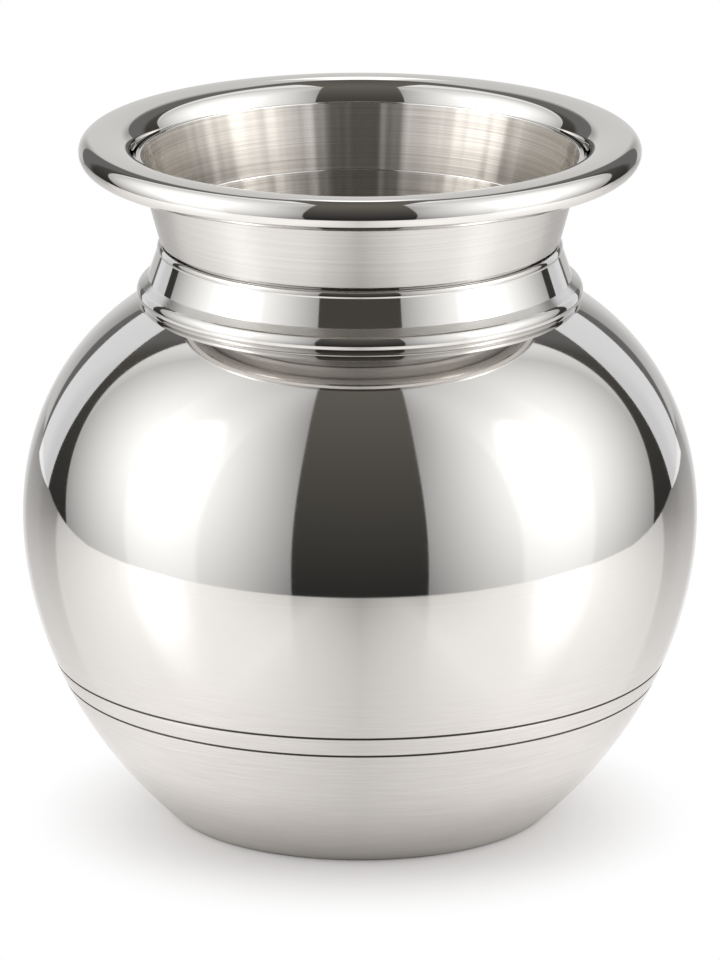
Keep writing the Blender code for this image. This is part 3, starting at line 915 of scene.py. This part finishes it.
# %% Turn the lower bowl
BASE_BEND = 1.5 * MM
BASE_BEND_STEPS = 10
STANDING_WIDTH = 5.0 * MM
FLOOR_STEP_WIDTH = 2.5 * MM
FLOOR_RISE = 0.8 * MM
GROOVE_HEIGHTS = (26.7 * MM, 23.35 * MM)
GROOVE_WIDTH = 0.5 * MM
GROOVE_DEPTH = 0.22 * MM
GROOVE_STEPS = 10
GROOVE_EDGE = 2
OUTSIDE, BACK, GROOVE = 0, 1, 2

bowl_lip = beside([at_height(dome, LAP_TOP), belly], SHEET + FIT)
bowl_lip[-1] = (bowl_lip[-1][0], BELLY_HEIGHT)
bowl_wall = wall[:-2]
standing_edge = (BASE_RADIUS - STANDING_WIDTH, 0.0)
step_inner = (BASE_RADIUS - STANDING_WIDTH - FLOOR_STEP_WIDTH, FLOOR_RISE)
floor_centre = (0.0, FLOOR_RISE)
foot = rounded([bowl_wall[-1], base, standing_edge, step_inner, floor_centre], BASE_BEND, BASE_BEND_STEPS)[1:]


def grooved(curve, heights):
    """Stretches of a falling curve with a rounded groove cut in at each height."""
    stretches = []
    rest = list(curve)
    for height in heights:
        groove_top = height + GROOVE_WIDTH / 2
        cut = []
        for step in range(GROOVE_STEPS + 1):
            share = step / GROOVE_STEPS
            radius, level = at_height(curve, groove_top - share * GROOVE_WIDTH)
            cut.append((radius - GROOVE_DEPTH * (1 - math.cos(math.tau * share)) / 2, level))
        upper = [point for point in rest if point[1] > groove_top]
        # The middle of each groove takes the dark grey painted shade.
        stretches += [(upper + cut[:GROOVE_EDGE], OUTSIDE), (cut[GROOVE_EDGE:-GROOVE_EDGE], GROOVE)]
        rest = cut[-GROOVE_EDGE:] + [point for point in rest if point[1] < groove_top - GROOVE_WIDTH]
    return stretches + [(rest, OUTSIDE)]


bowl_back = beside(bowl_lip + bowl_wall + foot, SHEET)[::-1]
bowl = turned("bowl", [(bowl_lip, BACK), *grooved(bowl_wall, GROOVE_HEIGHTS), (foot, BACK),
                       (bowl_back, BACK)], [belted, inner, groove_shade])
seat(bowl, "lower_bowl")

# %% [markdown]
# ## Shoulder dome
# The upper half of the body is spun over a former. It closes in to a flat seat for the collar and a short
# upstand that the collar slips over, both hidden by the collar. Close under the collar the polish mirrors
# the satin neck and the underside of the rim, which looks like a crescent laid on the shoulder. The
# underside is painted pale, painted light that lightens that crescent.
# On the real pot the belly seam is ground flush, so here the dome meets the bowl without a gap.

# %% Turn the shoulder dome
SEAT_BEND = 0.8 * MM

throat = rounded([(THROAT_RADIUS, UPSTAND_TOP), (THROAT_RADIUS, SEAT_HEIGHT), seat_edge], SEAT_BEND)[:-1]
shoulder_back = beside(throat + dome, SHEET)[::-1]
shoulder = turned("shoulder", [(throat, BACK), (dome, OUTSIDE), (shoulder_back, BACK)], [mirror, inner])
seat(shoulder, "shoulder_dome")

# %% [markdown]
# ## Collar
# The collar is a spun ring that hides the joint of body and neck. Seen from outside it has a rounded
# lip, a conical band, a small ledge and a hollow half-round bead that sits on the shoulder. The bead's
# foot is polished shut, so here it comes down to a hairline above the seat. The ledge's corner, out of the
# polishing wheel's reach, stays satin. The upstand stands inside the neck, where its deburred top edge
# shows as a thin ring. The neck and the rim take their places from the collar's sizes.

# %% Measure the collar and the neck
BEAD_RISE = 2.7 * MM
BEAD_BULGE = 0.7 * MM
LEDGE_WIDTH = 1.15 * MM
BAND_TAPER = 1.95 * MM
LIP_RISE = 1.2 * MM
LIP_STANDOUT = 0.2 * MM
NECK_FLARE = 3.8 * MM
NECK_RISE = 14.0 * MM
SEAM = 0.02 * MM

NECK_TOP = NECK_FOOT + NECK_RISE
NECK_LEAN = math.atan2(NECK_FLARE, NECK_RISE)
BAND_LEAN = math.atan2(BAND_TAPER, BAND_TOP - BAND_FOOT)
BAND_FOOT_RADIUS = THROAT_RADIUS + FIT + SHEET / math.cos(BAND_LEAN)
BEAD_EDGE_RADIUS = BAND_FOOT_RADIUS + LEDGE_WIDTH
BEAD_TOP = COLLAR_FOOT + BEAD_RISE
NECK_FOOT_RADIUS = BAND_FOOT_RADIUS - BAND_TAPER


def neck_radius(height):
    """The outside radius of the neck's cone at a height."""
    return NECK_FOOT_RADIUS + (height - NECK_FOOT) * math.tan(NECK_LEAN)


upstand_gap = (SHEET + FIT) / math.cos(NECK_LEAN)
upstand_top = (neck_radius(collar_high.z) - upstand_gap, collar_high.z)
upstand_root = (neck_radius(BAND_TOP) - upstand_gap, BAND_TOP)
lip_corner = (NECK_FOOT_RADIUS, BAND_TOP)
band_top = (NECK_FOOT_RADIUS + LIP_RISE * math.tan(BAND_LEAN), BAND_TOP - LIP_RISE)
band_foot = (BAND_FOOT_RADIUS, BAND_FOOT)
bead_top = (BEAD_EDGE_RADIUS, BEAD_TOP)
bead_middle = (BEAD_EDGE_RADIUS + BEAD_BULGE, (BEAD_TOP + COLLAR_FOOT) / 2)
bead_foot = (BEAD_EDGE_RADIUS, SEAT_HEIGHT + SEAM)
foot_edge = (THROAT_RADIUS + FIT, COLLAR_FOOT)
print(f"neck leans {math.degrees(NECK_LEAN):.1f} degrees, band leans {math.degrees(BAND_LEAN):.1f}")

# %% Turn the collar
EDGE_BEND = 0.12 * MM
EDGE_STEPS = 12
DEBURR = 0.25 * MM
CORNER_POINTS = BEND_STEPS + 1
LEDGE_POINTS = (CORNER_POINTS + 1) // 2
LEDGE = 2

lip_start = (NECK_FOOT_RADIUS - LIP_STANDOUT, BAND_TOP)
collar_lip = bezier(lip_start, (NECK_FOOT_RADIUS + LIP_STANDOUT, BAND_TOP),
                    (band_top[0] + LIP_STANDOUT, BAND_TOP - LIP_RISE / 2), band_top, EDGE_STEPS)
bulge_radius = BEAD_EDGE_RADIUS + BEAD_BULGE * 4 / 3
bead = bezier(bead_top, (bulge_radius, BEAD_TOP - BEAD_RISE / 4),
              (bulge_radius, COLLAR_FOOT + BEAD_RISE / 4), bead_foot, 2 * EDGE_STEPS)
band_and_ledge = rounded([band_top, band_foot, bead_top], EDGE_BEND)[1:-1]
band, ledge = band_and_ledge[:-LEDGE_POINTS], band_and_ledge[-LEDGE_POINTS:]
plain_face = [upstand_top, upstand_root, lip_corner, band_foot, bead_top, bead_middle, bead_foot, foot_edge]
collar_back = beside(plain_face, SHEET)[::-1]
upstand = rounded(collar_back[-2:] + [upstand_top, upstand_root], DEBURR)[1:]
collar = turned("collar", [(upstand, OUTSIDE), (collar_lip, OUTSIDE), (band, OUTSIDE), (ledge, LEDGE),
                           (bead, OUTSIDE), ([foot_edge], BACK), (collar_back[:-1], BACK)],
                [mirror, inner, satin])
seat(collar, "neck_collar")

# %% [markdown]
# ## Neck
# The neck is a plain cone of sheet, satin outside and more coarsely brushed inside. Its upper edge was
# deburred and buffed with the rim and has the rim's lighter tone, which is painted light, so it shows
# inside the mouth as a thin bright ring. A sharp edge would show none, so the section's corners are rounded.

# %% Turn the neck
EDGE = 2

neck_outside = [(neck_radius(NECK_TOP), NECK_TOP), (neck_radius(NECK_FOOT), NECK_FOOT)]
neck_back = beside(neck_outside, SHEET)[::-1]
neck_section = rounded(neck_outside + neck_back + neck_outside[:1], DEBURR)
outer_face = neck_section[:1 + CORNER_POINTS]
inner_face = neck_section[1 + CORNER_POINTS:1 + 2 * CORNER_POINTS]
top_edge = neck_section[1 + 2 * CORNER_POINTS:-1]
# The top edge takes the rim's steel, painted a lighter tone as painted light.
neck = turned("neck", [(outer_face, OUTSIDE), (inner_face, BACK), (top_edge, EDGE)], [satin, inner, bright])
seat(neck, "neck_funnel")

# %% [markdown]
# ## Mouth rim
# The rim is spun outwards and its edge is curled under round a wire hoop, so that the mouth is stiff and
# has no raw edge to drink or pour over. Its crest isn't flat but very slightly domed, which spreads the
# reflections over it. Inside it slopes down to the neck, which its skirt is sleeved over. One path along
# skirt, slope, crest and curl gives all of that in one ring.

# %% Turn the rim
RIM_LAP = 3.0 * MM
RIM_TOP = ROLL_HEIGHT + ROLL_RADIUS
CREST_RADIUS = 9.0 * MM
CREST_OUTWARD = math.radians(9.6)
CREST_INWARD = math.radians(14)
SLOPE_PULL = 1.8 * MM
CURL_TURN = math.radians(285)
SLOPE_STEPS = 24
CREST_STEPS = 24
CURL_STEPS = 64
RAW_STEPS = CURL_STEPS // 3

skirt_gap = FIT / math.cos(NECK_LEAN)
skirt_foot = (neck_radius(NECK_TOP - RIM_LAP) + skirt_gap, NECK_TOP - RIM_LAP)
slope_foot = (neck_radius(NECK_TOP) + skirt_gap, NECK_TOP)
crest_shift = (CREST_RADIUS - ROLL_RADIUS) * math.sin(CREST_OUTWARD)
crest_centre = (ROLL_CENTRE - crest_shift, RIM_TOP - CREST_RADIUS)
crest = arc(crest_centre, CREST_RADIUS, math.pi / 2 + CREST_INWARD, CREST_INWARD + CREST_OUTWARD, CREST_STEPS)
slope = bezier(slope_foot, toward(slope_foot, math.pi / 2 - NECK_LEAN, SLOPE_PULL),
               toward(crest[0], math.pi + CREST_INWARD, SLOPE_PULL), crest[0], SLOPE_STEPS)
curl_start = math.pi / 2 - CREST_OUTWARD
curl_centre = toward(crest[-1], curl_start + math.pi, ROLL_RADIUS)
curl = arc(curl_centre, ROLL_RADIUS, curl_start, CURL_TURN - CREST_OUTWARD, CURL_STEPS)
rim_face = [skirt_foot] + slope[:-1] + crest[:-1] + curl
rim_back = beside(rim_face, SHEET)[::-1]
# The rim's face is the steel painted a lighter tone, painted light; its raw edge and back are the spun steel,
# painted pale as painted light.
rim = turned("rim", [(rim_face[:-RAW_STEPS], OUTSIDE), (rim_face[-RAW_STEPS:], BACK),
                     (rim_back, BACK)], [bright, spun])
seat(rim, "mouth_rim")

# %% [markdown]
# ## Wire hoop
# The hoop inside the curl is drawn steel wire, bent to a ring and hidden for good. It is turned like the
# sheets, from a round section, so that it fits the curl exactly.

# %% Bend the hoop
WIRE_SIDES = 24

wire_section = arc((ROLL_CENTRE, ROLL_HEIGHT), WIRE_RADIUS, math.pi / 2, math.tau, WIRE_SIDES)[:-1]
hoop = turned("hoop", [(wire_section, OUTSIDE)], [satin])
seat(hoop, "rim_wire")

# %% [markdown]
# ## What the cards light
# Light linking is a list of the objects that a lamp or a glowing mesh may shine on. The cards behind are
# for the body and the collar, and those in front are for the neck. The rim needs neither.

# %% Link the cards to their pieces
for name, pair, receivers in (("lit from behind", body_cards, (bowl, shoulder, collar)),
                              ("lit from the front", neck_cards, (neck,))):
    listed = bpy.data.collections.new(name)
    for receiver in receivers:
        listed.objects.link(receiver)
    for card in pair:
        card.light_linking.receiver_collection = listed
    print(name, "are", ", ".join(receiver.name for receiver in receivers))

# %% [markdown]
# ## Size
# The dressed pot must fill the same box as the measured one. Both boxes are printed.

# %% Print both boxes
boxes = {"cad": cad_box, "visual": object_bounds()}
for name, (low, high) in boxes.items():
    print(name, "box in mm:", [round((b - a) / MM, 2) for a, b in zip(low, high)])
